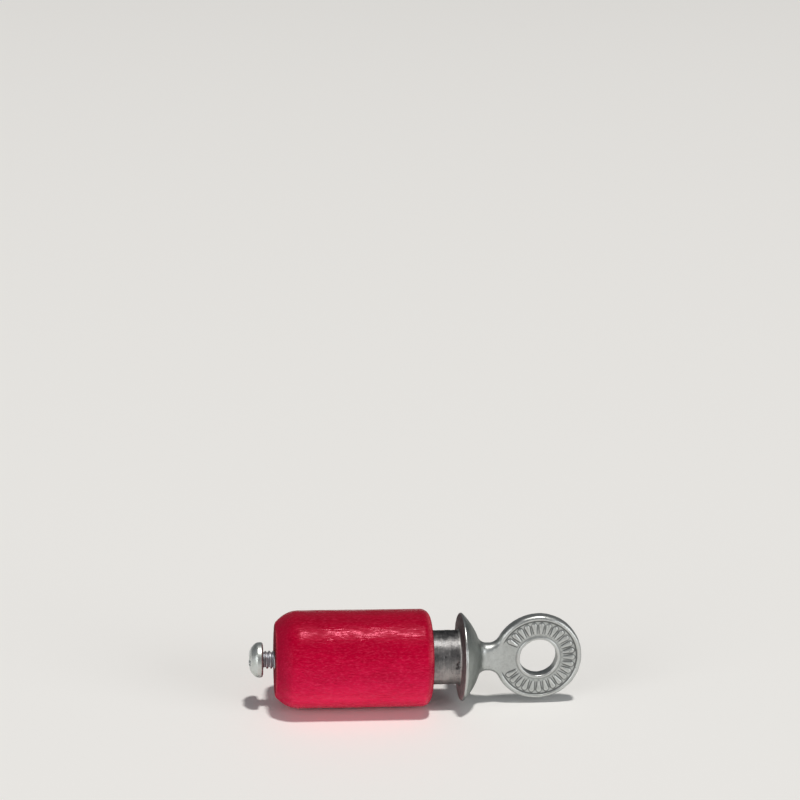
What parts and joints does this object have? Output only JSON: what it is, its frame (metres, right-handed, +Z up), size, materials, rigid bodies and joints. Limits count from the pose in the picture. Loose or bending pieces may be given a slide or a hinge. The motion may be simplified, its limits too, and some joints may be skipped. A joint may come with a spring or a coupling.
{
  "type": "twist bird call",
  "caption": "Pocket bird call: a bored wooden barrel round a cast metal plug with a flange and finger ring, which squeaks on rosin when twisted and is kept in by a screw through the closed end.",
  "frame": {"origin": "on the surface it lies on, under the middle of the whole length and the barrel's axis", "axes": "+X along the barrel's axis from the screw to the finger ring, +Z up out of the surface it lies on, Y through the eye of the finger ring"},
  "size_m": [0.0658, 0.019, 0.0191],
  "materials": {
    "red_wood": "satin",
    "pewter": "satin",
    "screw_steel": "polished",
    "rosin": "satin"
  },
  "bodies": {
    "barrel": {"barrel": "red_wood"},
    "rosin": {"rosin_skin": "rosin"},
    "plug": {"ring_plug": "pewter", "retaining_screw": "screw_steel"}
  },
  "joints": [
    {"name": "plug_slide", "type": "slide", "parent": "barrel", "child": "rosin", "axis": [1, 0, 0], "range_m": [-0.0057, 0.0022]},
    {"name": "plug_twist", "type": "hinge", "parent": "rosin", "child": "plug", "pos_m": [0, 0, 0.00953], "axis": [1, 0, 0], "continuous": true}
  ]
}
